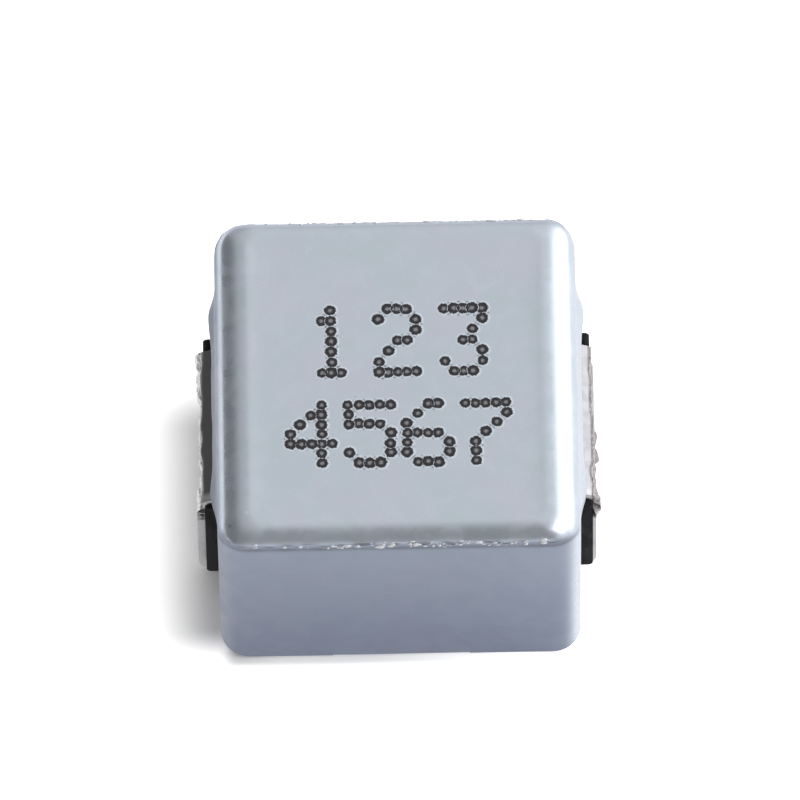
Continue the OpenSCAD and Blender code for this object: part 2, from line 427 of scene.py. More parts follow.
class Effects:
    """Builds the shared node groups and places them in materials."""

    def __init__(self) -> None:
        """Builds every group."""
        self.groups = {Effect.CLOUDS: self.clouds(), Effect.GRAIN: self.grain(),
                       Effect.SPECKS: self.specks()}

    @staticmethod
    def group(effect: Effect, inputs: dict[str, float],
              outputs: list[str]) -> tuple[Wiring, bpy.types.Node, bpy.types.Node]:
        """Starts a group with its sockets.

        Args:
            effect: The effect.
            inputs: Name and first value of each number the group takes.
            outputs: Name of each value it gives.

        Returns:
            The group's wiring, its input node and its output node.
        """
        tree = bpy.data.node_groups.new(effect.value, "ShaderNodeTree")
        tree.interface.new_socket(name="Place", in_out="INPUT", socket_type="NodeSocketVector")
        for name, value in inputs.items():
            socket = tree.interface.new_socket(name=name, in_out="INPUT", socket_type="NodeSocketFloat")
            socket.default_value = value
        for name in outputs:
            tree.interface.new_socket(name=name, in_out="OUTPUT", socket_type="NodeSocketFloat")
        wires = Wiring(tree)
        return wires, wires.add("NodeGroupInput"), wires.add("NodeGroupOutput")

    def clouds(self) -> bpy.types.NodeTree:
        """Broad and narrow clouding of a plated sheet, as two masks between 0 and 1."""
        wires, source, sink = self.group(
            Effect.CLOUDS, {"Broad per mm": 0.3, "Narrow per mm": 1.2}, ["Broad", "Narrow"])
        for name in ("Broad", "Narrow"):
            scale = wires.calc("DIVIDE", source.outputs[f"{name} per mm"], MM)
            node = wires.feed(wires.add("TexNoise"), Vector=source.outputs["Place"], Scale=scale,
                              Detail=3.0, Distortion=0.6)
            wires.join(wires.remap(node.outputs["Fac"], 0.3, 0.7), sink.inputs[name])
        return wires.tree

    def grain(self) -> bpy.types.NodeTree:
        """Height of a fine grain: small lumps with finer ones on them."""
        wires, source, sink = self.group(Effect.GRAIN, {"Per mm": 10.0}, ["Height"])
        scale = wires.calc("DIVIDE", source.outputs["Per mm"], MM)
        lumps = wires.feed(wires.add("TexNoise"), Vector=source.outputs["Place"], Scale=scale,
                           Detail=4.0, Roughness=0.6)
        cells = wires.feed(wires.add("TexVoronoi"), Vector=source.outputs["Place"], Scale=scale)
        wires.join(wires.calc("MULTIPLY_ADD", cells.outputs["Distance"], 0.4, lumps.outputs["Fac"]),
                   sink.inputs["Height"])
        return wires.tree

    def specks(self) -> bpy.types.NodeTree:
        """Mask of scattered specks: cells whose random colour passes a share, as small spots."""
        wires, source, sink = self.group(
            Effect.SPECKS, {"Per mm": 2.0, "Share": 0.1, "Size": 0.15}, ["Mask"])
        scale = wires.calc("DIVIDE", source.outputs["Per mm"], MM)
        cells = wires.feed(wires.add("TexVoronoi"), Vector=source.outputs["Place"], Scale=scale)
        chance = wires.add("SeparateColor")
        wires.join(cells.outputs["Color"], chance.inputs[0])
        chosen = wires.calc("LESS_THAN", chance.outputs[0], source.outputs["Share"])
        near = wires.calc("SUBTRACT", 1.0, wires.calc("DIVIDE", cells.outputs["Distance"],
                                                      source.outputs["Size"]))
        spot = wires.remap(near, 0.0, 0.6)
        wires.join(wires.calc("MULTIPLY", chosen, spot), sink.inputs["Mask"])
        return wires.tree

    def place(self, wires: Wiring, effect: Effect, place: bpy.types.NodeSocket,
              **values: float) -> bpy.types.Node:
        """Puts a group in a material.

        Args:
            wires: The material's wiring.
            effect: The effect.
            place: Coordinates for it to read.
            values: Its numbers, with underscores for the spaces in their names.

        Returns:
            The group node.
        """
        node = wires.add("Group")
        node.node_tree = self.groups[effect]
        return wires.feed(node, Place=place, **values)


def new_material(name: str) -> tuple[bpy.types.Material, Wiring, bpy.types.Node, bpy.types.NodeSocket]:
    """Starts a material with a shader and the piece's own coordinates.

    Args:
        name: Name of the material.

    Returns:
        The material, its wiring, its shader and its coordinates in metres.
    """
    material = bpy.data.materials.new(name)
    material.use_nodes = True
    wires = Wiring(material.node_tree)
    shader = wires.add("BsdfPrincipled")
    wires.join(shader.outputs[0], wires.add("OutputMaterial").inputs[0])
    return material, wires, shader, wires.add("TexCoord").outputs["Object"]


@dataclass(frozen=True)
class TinPlate:
    """Satin tin plate of the can: clouded silver, with painted shade on the walls, bends and edges, a
    few dull specks and painted glints.
    """

    silver: Colour = (0.725, 0.790, 0.875)
    green: Colour = (0.640, 0.720, 0.785)
    lilac: Colour = (0.680, 0.715, 0.815)
    # colour of the painted shade on the walls and bends
    drawn: Colour = (0.248, 0.280, 0.365)
    # colour of the painted shade along the end of the front bend, over the left lip and along the right
    # window's edge
    grime: Colour = (0.10, 0.11, 0.13)
    dull: Colour = (0.30, 0.32, 0.34)
    glint: Colour = (0.95, 0.96, 0.98)
    smooth: float = 0.24              # roughness of the clearest and the cloudiest tin
    cloudy: float = 0.34
    roughened: float = 0.08           # how much rougher the places with painted shade are
    silver_share: float = 0.5         # how far the clouding, the painted edge shade and the dull specks show
    edge_shade_share: float = 0.75
    dull_share: float = 0.6

    def build(self, effects: Effects) -> bpy.types.Material:
        """Makes the material, which reads the attributes of painted shade on the walls and along the
        edges.

        Args:
            effects: The shared effects.

        Returns:
            The material.
        """
        material, wires, shader, place = new_material("tin plate")
        clouds = effects.place(wires, Effect.CLOUDS, place, Broad_per_mm=0.5, Narrow_per_mm=1.1)
        specks = effects.place(wires, Effect.SPECKS, place, Per_mm=1.3, Share=0.05, Size=0.12)
        glints = effects.place(wires, Effect.SPECKS, place, Per_mm=0.9, Share=0.06, Size=0.09)
        grain = effects.place(wires, Effect.GRAIN, place, Per_mm=9.0)
        drawn, edge_shade = wires.layer("drawn"), wires.layer("edge_shade")
        tone = wires.blend(clouds.outputs["Broad"], self.green, self.lilac)
        tone = wires.blend(wires.calc("MULTIPLY", clouds.outputs["Narrow"], self.silver_share),
                           tone, self.silver)
        # Painted shade: the walls and bends darker, then darker lines along the crease and the lips
        tone = wires.blend(drawn, tone, self.drawn)
        tone = wires.blend(wires.calc("MULTIPLY", edge_shade, self.edge_shade_share), tone, self.grime)
        tone = wires.blend(wires.calc("MULTIPLY", specks.outputs["Mask"], self.dull_share),
                           tone, self.dull)
        tone = wires.blend(glints.outputs["Mask"], tone, self.glint)
        rough = wires.remap(clouds.outputs["Narrow"], 0.0, 1.0, self.smooth, self.cloudy)
        rough = wires.calc("MULTIPLY_ADD", wires.calc("MAXIMUM", drawn, edge_shade),
                           self.roughened, rough)
        fine = wires.bump(grain.outputs["Height"], 0.25, 0.004 * MM)
        wave = wires.bump(wires.noise(place, 0.35, 1.0), 0.35, 0.03 * MM, Normal=fine)
        wires.feed(shader, Base_Color=tone, Metallic=1.0, Roughness=rough, Normal=wave)
        return material


@dataclass(frozen=True)
class GlintingTinBurr:
    """Soft lumps of tin pushed up where the sheet was bent hardest, near white as painted glints on
    bright bare tin.
    """

    # bright: near-white painted glint, partly bright bare tin
    bright: Colour = (0.93, 0.94, 0.97)
    worn: Colour = (0.62, 0.64, 0.70)

    def build(self, effects: Effects) -> bpy.types.Material:
        """Makes the material.

        Args:
            effects: The shared effects.

        Returns:
            The material.
        """
        material, wires, shader, place = new_material("tin burr glint")
        clouds = effects.place(wires, Effect.CLOUDS, place, Broad_per_mm=1.2, Narrow_per_mm=6.0)
        grain = effects.place(wires, Effect.GRAIN, place, Per_mm=14.0)
        tone = wires.blend(wires.calc("MULTIPLY", clouds.outputs["Broad"], clouds.outputs["Narrow"]),
                           self.bright, self.worn)
        rough = wires.remap(clouds.outputs["Narrow"], 0.0, 1.0, 0.35, 0.55)
        wires.feed(shader, Base_Color=tone, Metallic=0.35, Roughness=rough,
                   Normal=wires.bump(grain.outputs["Height"], 0.4, 0.01 * MM))
        return material


@dataclass(frozen=True)
class TinnedStrip:
    """Tinned strip of a terminal: satin, with painted shade on its shoulder and a torn, pitted edge."""

    name: str
    # shoulder: colour of the painted shade over the upper part of the strip
    shoulder: Colour
    # torn: colour of the torn band, a painted highlight where it is near white
    torn: Colour
    silver: Colour
    pit: Colour = (0.10, 0.09, 0.085)
    pit_share: float = 0.6            # how far the pits show where the strip is torn
    polish: float = -0.12             # what tearing adds to the roughness
    satin: Span = (0.42, 0.55)        # roughness of the clearest and the cloudiest tin

    def build(self, effects: Effects) -> bpy.types.Material:
        """Makes the material, which reads the attributes "torn" and "shoulder".

        Args:
            effects: The shared effects.

        Returns:
            The material.
        """
        material, wires, shader, place = new_material(self.name)
        torn, shoulder = wires.layer("torn"), wires.layer("shoulder")
        grain = effects.place(wires, Effect.GRAIN, place, Per_mm=6.0)
        specks = effects.place(wires, Effect.SPECKS, place, Per_mm=5.0, Share=0.35, Size=0.45)
        clouds = effects.place(wires, Effect.CLOUDS, place, Broad_per_mm=0.6, Narrow_per_mm=2.5)
        # Painted shade on the shoulder, then the torn band's colour
        tone = wires.blend(shoulder, self.silver, self.shoulder)
        tone = wires.blend(torn, tone, self.torn)
        pits = wires.calc("MULTIPLY", specks.outputs["Mask"],
                          wires.calc("MULTIPLY", torn, self.pit_share))
        tone = wires.blend(pits, tone, self.pit)
        rough = wires.calc("MULTIPLY_ADD", torn, self.polish,
                           wires.remap(clouds.outputs["Narrow"], 0.0, 1.0, *self.satin))
        fine = wires.bump(grain.outputs["Height"], 0.4, 0.01 * MM)
        deep = wires.bump(wires.calc("MULTIPLY", grain.outputs["Height"], torn), 0.9, 0.06 * MM,
                          Normal=fine)
        wires.feed(shader, Base_Color=tone, Metallic=1.0, Roughness=rough, Normal=deep)
        return material


@dataclass(frozen=True)
class PressedPowder:
    """Black pressed iron powder: matt, grainy, with a few bright grains."""

    black: Colour = (0.004, 0.004, 0.005)
    grey: Colour = (0.012, 0.012, 0.013)
    bright: Colour = (0.10, 0.10, 0.11)

    def build(self, effects: Effects) -> bpy.types.Material:
        """Makes the material.

        Args:
            effects: The shared effects.

        Returns:
            The material.
        """
        material, wires, shader, place = new_material("pressed powder")
        clouds = effects.place(wires, Effect.CLOUDS, place, Broad_per_mm=0.5, Narrow_per_mm=5.0)
        specks = effects.place(wires, Effect.SPECKS, place, Per_mm=7.0, Share=0.06, Size=0.3)
        grain = effects.place(wires, Effect.GRAIN, place, Per_mm=12.0)
        tone = wires.blend(clouds.outputs["Narrow"], self.black, self.grey)
        tone = wires.blend(specks.outputs["Mask"], tone, self.bright)
        rough = wires.remap(clouds.outputs["Broad"], 0.0, 1.0, 0.55, 0.75)
        wires.feed(shader, Base_Color=tone, Roughness=rough, Specular_IOR_Level=0.25,
                   Normal=wires.bump(grain.outputs["Height"], 0.6, 0.02 * MM))
        return material


@dataclass(frozen=True)
class EnamelledCopper:
    """Copper wire under a clear amber enamel."""

    copper: Colour = (0.72, 0.33, 0.16)
    amber: Colour = (0.62, 0.24, 0.09)

    def build(self, effects: Effects) -> bpy.types.Material:
        """Makes the material.

        Args:
            effects: The shared effects.

        Returns:
            The material.
        """
        material, wires, shader, place = new_material("enamelled copper")
        clouds = effects.place(wires, Effect.CLOUDS, place, Broad_per_mm=0.4, Narrow_per_mm=2.0)
        grain = effects.place(wires, Effect.GRAIN, place, Per_mm=5.0)
        tone = wires.blend(clouds.outputs["Broad"], self.copper, self.amber)
        rough = wires.remap(clouds.outputs["Narrow"], 0.0, 1.0, 0.25, 0.4)
        wires.feed(shader, Base_Color=tone, Metallic=1.0, Roughness=rough, Coat_Weight=0.6,
                   Normal=wires.bump(grain.outputs["Height"], 0.2, 0.01 * MM))
        return material


@dataclass(frozen=True)
class BurntDot:
    """A laser dot: a burnt rim round a paler crater, in a ring of heated, paler tin."""

    rim: Colour = (0.035, 0.033, 0.038)
    crater: Colour = (0.30, 0.30, 0.31)
    heated: Colour = (0.80, 0.87, 0.95)
    tin: Colour = (0.665, 0.730, 0.808)
    raggedness: float = 0.5           # how far noise pushes the zones' edges in and out
    crater_edge: Span = (0.15, 0.5)   # where each zone gives way to the next one out
    rim_edge: Span = (0.92, 1.06)
    ring_edge: Span = (1.15, 1.5)

    def build(self, effects: Effects) -> bpy.types.Material:
        """Makes the material, which reads the way out from a dot's middle from its UV map.

        Args:
            effects: The shared effects.

        Returns:
            The material.
        """
        material, wires, shader, place = new_material("burnt dot")
        spread = wires.add("VectorMath", operation="LENGTH")
        wires.join(wires.add("UVMap", uv_map="dot").outputs[0], spread.inputs[0])
        out = spread.outputs["Value"]
        ragged = wires.calc("MULTIPLY_ADD", wires.noise(place, 14.0, 3.0), self.raggedness,
                            wires.calc("SUBTRACT", out, self.raggedness / 2))
        bare = wires.remap(ragged, *self.rim_edge)
        tone = wires.blend(wires.remap(ragged, *self.crater_edge), self.crater, self.rim)
        tone = wires.blend(bare, tone, self.heated)
        tone = wires.blend(wires.remap(out, *self.ring_edge), tone, self.tin)
        grain = effects.place(wires, Effect.GRAIN, place, Per_mm=14.0)
        rough = wires.calc("MULTIPLY_ADD", bare, -0.35, wires.remap(ragged, 0.2, 0.9, 0.45, 0.65))
        wires.feed(shader, Base_Color=tone, Metallic=wires.calc("MULTIPLY_ADD", bare, 0.7, 0.3),
                   Roughness=rough, Normal=wires.bump(grain.outputs["Height"], 0.4, 0.01 * MM))
        return material


# ------------------------------------------------------------------ pieces

@dataclass
class ShieldCan:
    """The drawn can: one sheet with a flat top, two sorts of top bend, windows and ground tabs."""

    half_d: float                     # middle to front
    height: float
    half_w: float = 6.6 * MM          # middle to side, without the lips
    sheet: float = 0.3 * MM
    corner: float = 1.1 * MM          # upright corners
    top_corner: float = 0.5 * MM      # corners of the flat top
    side_bend: float = 1.0 * MM       # height of the top bends along the sides
    side_run: float = 1.25 * MM       # how far in from the side they begin
    front_bend: float = 0.7 * MM      # the same along the front and the back
    front_run: float = 0.8 * MM
    rim: float = 0.2 * MM             # lower edge of the walls
    window_half: float = 4.0 * MM
    window_top: float = 7.0 * MM
    lip_out: float = 0.17 * MM
    lip_corner_out: float = 0.26 * MM
    lip_edge: float = 3.7 * MM        # where the lip bulges most
    lip_end: float = 4.8 * MM
    lip_height: float = 0.8 * MM
    lip_uneven: float = 0.16          # share by which it falls short in places
    tab_half: float = 2.5 * MM
    tab_bend: float = 0.32 * MM
    tab_reach: float = 1.9 * MM
    crease_at: float = math.radians(74)          # how far round the bend the crease lies
    crease_half: float = math.radians(7.0)
    crease_out: float = 0.035 * MM
    crease_middle: float = 1.0 * MM   # where along the front it is strongest, and how widely
    crease_spread: float = 3.6 * MM
    crease_back: float = 1.1          # how strong it is on the back, the left and the right
    crease_left: float = 0.7
    crease_right: float = 0.35
    broad_breaks: Span = (3.1, 5.0)   # its breaks, per millimetre along and per radian
    fine_breaks: Span = (7.3, 9.0)
    fine_share: float = 0.6
    lump_spread: float = math.radians(5.0)
    lump_shift: float = 0.3           # radians by which the back's lumps lie higher
    lump_most: float = 0.065 * MM     # radius of the largest lump
    wave_out: float = 0.012 * MM      # how far the walls wave
    waves: Span = (0.4, 0.3)          # waves in a millimetre, along and down
    groove_half: float = 0.07 * MM
    groove_in: float = 0.02 * MM
    dish: float = 0.02 * MM           # how far the top is hollow
    dish_power: float = 18.0
    upper_rows: int = 19              # rows of points over and beside a window
    lower_rows: int = 13
    drawn_from: float = 0.42          # share of the bend at which the painted shade begins
    drawn_over: float = 0.3           # share over which that sets in
    drawn_front: float = 0.84         # how dark the painted shade on the front and the back is near the top
    drawn_left: float = 0.75          # the same on the left, and what its rear end adds
    drawn_rear: float = 0.2
    drawn_back: float = 0.6           # the same along the back bend

    def outline(self) -> tuple[np.ndarray, np.ndarray]:
        """Corner centres and outward directions once round the can, from the middle of the front.

        A straight run keeps its direction while its centre moves; an upright corner keeps its
        centre while its direction turns a quarter.

        Returns:
            Centres and directions, one row each.
        """
        cx, cy = self.half_w - self.corner, self.half_d - self.corner
        front = stretches((0.0, self.tab_half, 24), (self.tab_half, cx, 28))
        side = stretches((-cy, -self.window_half, 12), (-self.window_half, self.window_half, 60),
                         (self.window_half, cy, 12))
        turn = np.linspace(0.0, math.pi / 2, 17)

        def run(x: np.ndarray, y: np.ndarray, angle: float) -> tuple[np.ndarray, np.ndarray]:
            """A straight run with one outward direction."""
            x, y = np.broadcast_arrays(x, y)
            way = np.broadcast_to([math.cos(angle), math.sin(angle)], (len(x), 2))
            return np.stack([x, y], axis=1), way

        def bend(x: float, y: float, start: float) -> tuple[np.ndarray, np.ndarray]:
            """An upright corner, without its two end stations."""
            angle = start + turn[1:-1]
            centre = np.broadcast_to([x, y], (len(angle), 2))
            return centre, np.stack([np.cos(angle), np.sin(angle)], axis=1)

        quarter = math.pi / 2
        parts = [run(front, -cy, -quarter), bend(cx, -cy, -quarter), run(cx, side, 0.0),
                 bend(cx, cy, 0.0), run(front[::-1], cy, quarter), run(-front[1:], cy, quarter),
                 bend(-cx, cy, quarter), run(-cx, side[::-1], 2 * quarter),
                 bend(-cx, -cy, 2 * quarter), run(-front[:0:-1], -cy, 3 * quarter)]
        return np.concatenate([p[0] for p in parts]), np.concatenate([p[1] for p in parts])

    def bend_height(self, way: np.ndarray) -> np.ndarray:
        """Top bend's height: it eases from the sides' to the front's as the direction turns."""
        share = ease(np.abs(way[:, 1]))
        return self.side_bend + (self.front_bend - self.side_bend) * share

    def top_edge(self) -> np.ndarray:
        """Edge of the flat top, station by station.

        It is a round-cornered rectangle of its own, so each station keeps its direction and its
        centre moves in from the can's corner centre to the top's, in proportion.

        Returns:
            Points, one row each.
        """
        centre, way = self.outline()
        outer = np.array([self.half_w, self.half_d]) - self.corner
        inner = self.top_half() - self.top_corner
        return centre * (inner / outer) + way * self.top_corner

    def top_half(self) -> np.ndarray:
        """Half of the flat top's width and depth."""
        return np.array([self.half_w - self.side_run, self.half_d - self.front_run])

    def top_level(self, share: np.ndarray) -> np.ndarray:
        """Height of the top at a share of the way out from its middle to its edge.

        It is hollow by the dish's depth times one minus the share to a high power, so that it
        is flat but for a low rise towards its edge.

        Args:
            share: Values from 0 to 1.

        Returns:
            Heights.
        """
        return self.height - self.dish * (1.0 - share ** self.dish_power)

    def top(self) -> Grid:
        """Flat top: its edge, shrunk in steps to the middle by a share that rises from 0 to 1.

        Returns:
            The grid.
        """
        share = np.concatenate([[0.0], stretches((0.12, 0.8, 4), (0.8, 1.0, 8))])[:, None, None]
        flat = self.top_edge()[None] * share
        z = np.broadcast_to(self.top_level(share), (*flat.shape[:2], 1))
        return Grid(np.concatenate([flat, z], axis=2), closed=True)

    def bends(self) -> Grid:
        """Top bends: a quarter ellipse at each station, with a crease and a groove.

        It leaves the top's edge level, by the sine of its angle times the way out to the wall,
        and drops by the bend's height times one minus the cosine. The crease stands out along
        it, and the groove runs where it meets the wall.

        Returns:
            The grid.
        """
        centre, way = self.outline()
        edge = self.top_edge()
        height = self.bend_height(way)[None, :]
        t = np.radians(stretches((0.0, 50.0, 10), (50.0, 90.0, 28)))[:, None]
        swell = self.crease(centre, way, t) - self.groove(way, height * (math.pi / 2 - t))
        run = centre + way * self.corner - edge
        flat = edge + run * np.sin(t)[..., None] + way * (swell * np.sin(t))[..., None]
        z = self.height - height * (1.0 - np.cos(t)) + swell * np.cos(t)
        return Grid(np.concatenate([flat, z[..., None]], axis=2), closed=True)

    def crease(self, centre: np.ndarray, way: np.ndarray, t: np.ndarray) -> np.ndarray:
        """How far the bend stands out at each station and angle.

        It is a narrow bell of height along the bend, broken up by a coarse and a fine random
        field. It is strongest along the back and on the right of the front's middle, and weaker
        along the left and the right.

        Args:
            centre: Corner centres.
            way: Outward directions.
            t: Angle along the bend.

        Returns:
            Heights, with angles down and stations across.
        """
        spot = centre + way * self.corner
        along = np.concatenate([[0.0], np.cumsum(np.hypot(*np.diff(spot, axis=0).T))]) / MM
        along = along[None, :]
        broad, fine = self.broad_breaks, self.fine_breaks
        broken = roughen(along * broad[0], t * broad[1], Seed.CREASE_BROAD)
        broken = broken + self.fine_share * roughen(along * fine[0], t * fine[1], Seed.CREASE_FINE)
        amount = ease((broken + 0.25) / 0.9)
        place = bell(t, self.crease_at, self.crease_half)
        middle = bell(spot[:, 0], self.crease_middle, self.crease_spread)
        front = ease(-way[:, 1]) * (0.45 + 0.55 * middle)
        back = self.crease_back * ease(way[:, 1])
        side = np.where(way[:, 0] < 0, self.crease_left, self.crease_right)
        side = side * ease(np.abs(way[:, 0]))
        strength = np.maximum(np.maximum(front, back), side)[None, :]
        return self.crease_out * place * amount * strength

    def groove(self, way: np.ndarray, away: np.ndarray) -> np.ndarray:
        """Depth of the groove, a narrow bell across the line where the front bend ends."""
        return self.groove_in * bell(away, 0.0, self.groove_half) * ease(-way[:, 1])[None, :]

    def walls(self) -> Grid:
        """Walls: each station's line down to the rim, with the windows and the tabs left out.

        Returns:
            The grid.
        """
        centre, way = self.outline()
        start = (self.height - self.bend_height(way))[None, :]
        upper = np.linspace(0.0, 1.0, self.upper_rows)[:, None] ** 1.3
        fall = (np.arange(1, self.lower_rows + 1)[:, None] / self.lower_rows) ** 1.5
        lower = self.window_top - (self.window_top - self.tab_bend) * fall
        edge = np.array([[(self.tab_bend + self.rim) / 2], [self.rim]])
        z = np.concatenate([start + (self.window_top - start) * upper, lower + 0.0 * start,
                            edge + 0.0 * start])
        out = self.corner + self.lip(centre, way, z) + self.wall_waves(centre, way, z)
        out = out - self.groove(way, start - z)
        points = self.lift(centre, way, out, z)
        middle = (points[:-1] + np.roll(points, -1, axis=1)[:-1]) / 2
        level = (z[:-1] + z[1:]) / 2 * np.ones(len(way))
        x, y = middle[..., 0], middle[..., 1]
        on_side = np.abs(x) > self.half_w - self.corner
        window = on_side & (np.abs(y) < self.window_half) & (level < self.window_top)
        tab = ~on_side & (np.abs(x) < self.tab_half) & (level < self.tab_bend)
        return Grid(points, keep=~(window | tab), closed=True)

    def lip(self, centre: np.ndarray, way: np.ndarray, z: np.ndarray) -> np.ndarray:
        """How far the wall is pushed out round a window.

        Along the side the lip stands out by its plain amount, eases up to its corner amount near
        the window's corners and back to nothing beyond them. In height it falls off quickly
        above the window's top edge and at half that rate below it.

        Args:
            centre: Corner centres.
            way: Outward directions.
            z: Heights.

        Returns:
            Distances, with heights down and stations across.
        """
        y = centre[None, :, 1]
        near = np.abs(y)
        rise = ease((near - self.lip_edge + 2 * self.lip_height) / (2 * self.lip_height))
        along = self.lip_out + (self.lip_corner_out - self.lip_out) * rise
        along = along * (1.0 - ease((near - self.lip_edge) / (self.lip_end - self.lip_edge)))
        off = np.where(z > self.window_top, z - self.window_top, (self.window_top - z) / 2)
        field = roughen(y / MM * 1.1, z / MM * 0.6 + 3.0 * np.sign(way[:, 0]), Seed.LIP)
        uneven = np.minimum(1.0 + self.lip_uneven * field, 1.0)
        flat = np.abs(way[:, 0]) > 0.999
        return np.where(flat, along * uneven * (1.0 - ease(off / self.lip_height)), 0.0)

    def wall_waves(self, centre: np.ndarray, way: np.ndarray, z: np.ndarray) -> np.ndarray:
        """Slow waviness of the walls' lower half, as a random field that fades towards the bend."""
        spot = centre + way * self.corner
        fade = 1.0 - ease((z - 0.3 * self.height) / (0.5 * self.height))
        along = (spot[:, 0] + 1.7 * spot[:, 1])[None, :] / MM
        field = roughen(along * self.waves[0], z / MM * self.waves[1], Seed.WALLS)
        return -self.wave_out * (1.0 + field) * fade

    @staticmethod
    def lift(centre: np.ndarray, way: np.ndarray, out: np.ndarray, z: np.ndarray) -> np.ndarray:
        """Points at a distance out from each corner centre, at a height."""
        flat = centre[None] + way[None] * np.broadcast_to(out, z.shape)[..., None]
        return np.concatenate([flat, z[..., None]], axis=2)

    def tab(self, edge: Edge) -> Grid:
        """Ground tab: the wall's line turned inwards through a quarter circle and run out flat.

        Args:
            edge: The can's side that it is on.

        Returns:
            The grid.
        """
        x = stretches((-self.tab_half, 0.0, 24), (0.0, self.tab_half, 24)) * -edge
        t = np.linspace(0.0, math.pi / 2, 10)
        inward = np.concatenate([self.tab_bend * (1.0 - np.cos(t)),
                                 np.linspace(self.tab_bend, self.tab_reach, 8)[1:]])
        z = np.concatenate([self.tab_bend * (1.0 - np.sin(t)), np.zeros(7)])
        centre = np.stack([x, np.full_like(x, edge * (self.half_d - self.corner))], axis=1)
        wall = self.wall_waves(centre, np.tile([0.0, float(edge)], (len(x), 1)),
                               np.full((1, len(x)), self.tab_bend))
        fade = (1.0 - ease(inward / self.tab_bend))[:, None]
        y = edge * (self.half_d - inward)[:, None] + edge * wall * fade
        return Grid(np.stack(np.broadcast_arrays(x[None, :], y, z[:, None]), axis=2))

    def lumps(self, count: int, edge: Edge, seed: Seed) -> list[Grid]:
        """Small lumps of tin along the front or the back bend's sharpest line.

        A lump is half an ellipsoid whose axes run along the bend, down it and outwards: its
        radius at latitude a is the cosine of a, and its height the sine.

        Args:
            count: Number of lumps.
            edge: The bend that they sit on.
            seed: Seed of their places and sizes.

        Returns:
            One grid a lump.
        """
        chance = np.random.default_rng(seed)
        reach = self.half_w - self.corner
        x = reach * (chance.uniform(-1.0, 1.0, count) if edge is Edge.BACK
                     else np.clip(chance.normal(0.18, 0.55, count), -0.95, 0.95))
        t = self.crease_at + chance.normal(0.0, self.lump_spread, count)
        t = t - (self.lump_shift if edge is Edge.BACK else 0.0)
        y = edge * (self.half_d - self.front_run * (1.0 - np.sin(t)))
        z = self.height - self.front_bend * (1.0 - np.cos(t))
        size = chance.uniform(0.4, 1.0, count) ** 2 * self.lump_most
        long = size * chance.uniform(1.0, 3.2, count)
        x, y, z, t, size, long = (each[:, None, None] for each in (x, y, z, t, size, long))
        a = np.linspace(-0.35, math.pi / 2, 6)[:, None]
        turn = np.linspace(0.0, 2 * math.pi, 13)[:-1] * -edge
        across, down = long * np.cos(a) * np.cos(turn), size * np.cos(a) * np.sin(turn)
        out = 0.8 * size * np.sin(a) + 0.0 * turn
        points = np.stack([x + across, y + edge * (out * np.sin(t) + down * np.cos(t)),
                           z + out * np.cos(t) - down * np.sin(t)], axis=3)
        return [Grid(lump[::-1], closed=True) for lump in points]

    def build_burrs(self) -> bpy.types.Object:
        """Makes the lumps of tin that stand on the front and the back bend.

        Returns:
            The finished piece.
        """
        piece = mesh_from_grids("bend_burrs", self.lumps(100, Edge.FRONT, Seed.FRONT_LUMPS)
                                + self.lumps(50, Edge.BACK, Seed.BACK_LUMPS))
        piece.data.shade_smooth()
        return piece

    def build(self) -> bpy.types.Object:
        """Makes the can from its grids and gives the sheet its thickness.

        Returns:
            The finished piece, with attributes for the painted shade on the walls and along the edges.
        """
        grids = [self.top(), self.bends(), self.walls(), self.tab(Edge.FRONT), self.tab(Edge.BACK)]
        piece = mesh_from_grids("can", grids)
        thicken(piece, self.sheet)
        paint(piece, "drawn", self.drawn_at)
        paint(piece, "edge_shade", self.edge_shade_at)
        return piece

    def bend_drop(self, spots: np.ndarray) -> np.ndarray:
        """How far down its bend each point lies: 0 on the top and 1 where the wall begins."""
        on_front = ease((np.abs(spots[:, 1]) - (self.half_d - self.corner)) / self.corner)
        bend = self.side_bend + (self.front_bend - self.side_bend) * on_front
        return (self.height - spots[:, 2]) / bend

    def drawn_at(self, spots: np.ndarray) -> np.ndarray:
        """How dark the painted shade on the sheet is; the sheet is also made rougher there.

        It is nothing on the top and sets in along the bends. It is greatest on the front, the
        back and the tabs, where it grows towards the rim, less on the left and nothing on the
        right.

        Args:
            spots: Points, one row each.

        Returns:
            Values between 0 and 1.
        """
        start = self.half_d - 0.5 * self.corner
        on_front = ease((np.abs(spots[:, 1]) - start) / (0.45 * self.corner))
        on_tab = (np.abs(spots[:, 0]) <= self.tab_half) & (spots[:, 2] < self.tab_bend)
        on_front = np.maximum(on_front, on_tab)
        deep = (self.drawn_front + (1.0 - self.drawn_front)
                * ease((self.height - spots[:, 2]) / self.height))
        left = self.drawn_left + self.drawn_rear * ease(spots[:, 1] / self.lip_end)
        side = np.where(spots[:, 0] < 0, left, 0.0)
        drop = self.bend_drop(spots)
        past_top = ease((spots[:, 1] - self.top_half()[1]) / self.front_run)
        back = self.drawn_back * ease(drop / 0.15) * past_top
        amount = ease((drop - self.drawn_from) / self.drawn_over)
        return np.maximum(back, amount * (side + (deep - side) * on_front))

    def edge_shade_at(self, spots: np.ndarray) -> np.ndarray:
        """Where painted shade darkens the sheet.

        It is a narrow bell across the line at which the front bend ends, a darker patch over the lip on
        the left, and a thin line along the window's edge on the right.

        Args:
            spots: Points, one row each.

        Returns:
            Values between 0 and 1.
        """
        x, y, z = spots.T
        past = (self.bend_drop(spots) - 1.0) * self.front_bend
        front = ease((-y - (self.half_d - self.corner)) / (0.5 * self.corner))
        patchy = 0.75 + 0.25 * roughen(x / MM * 1.7, y / MM, Seed.GRIME)
        line = bell(past, -0.03 * MM, 0.13 * MM) * front * patchy
        proud = ease((np.abs(x) - self.half_w + 0.02 * MM) / (0.1 * MM))
        proud = proud * (np.abs(y) < self.lip_end)
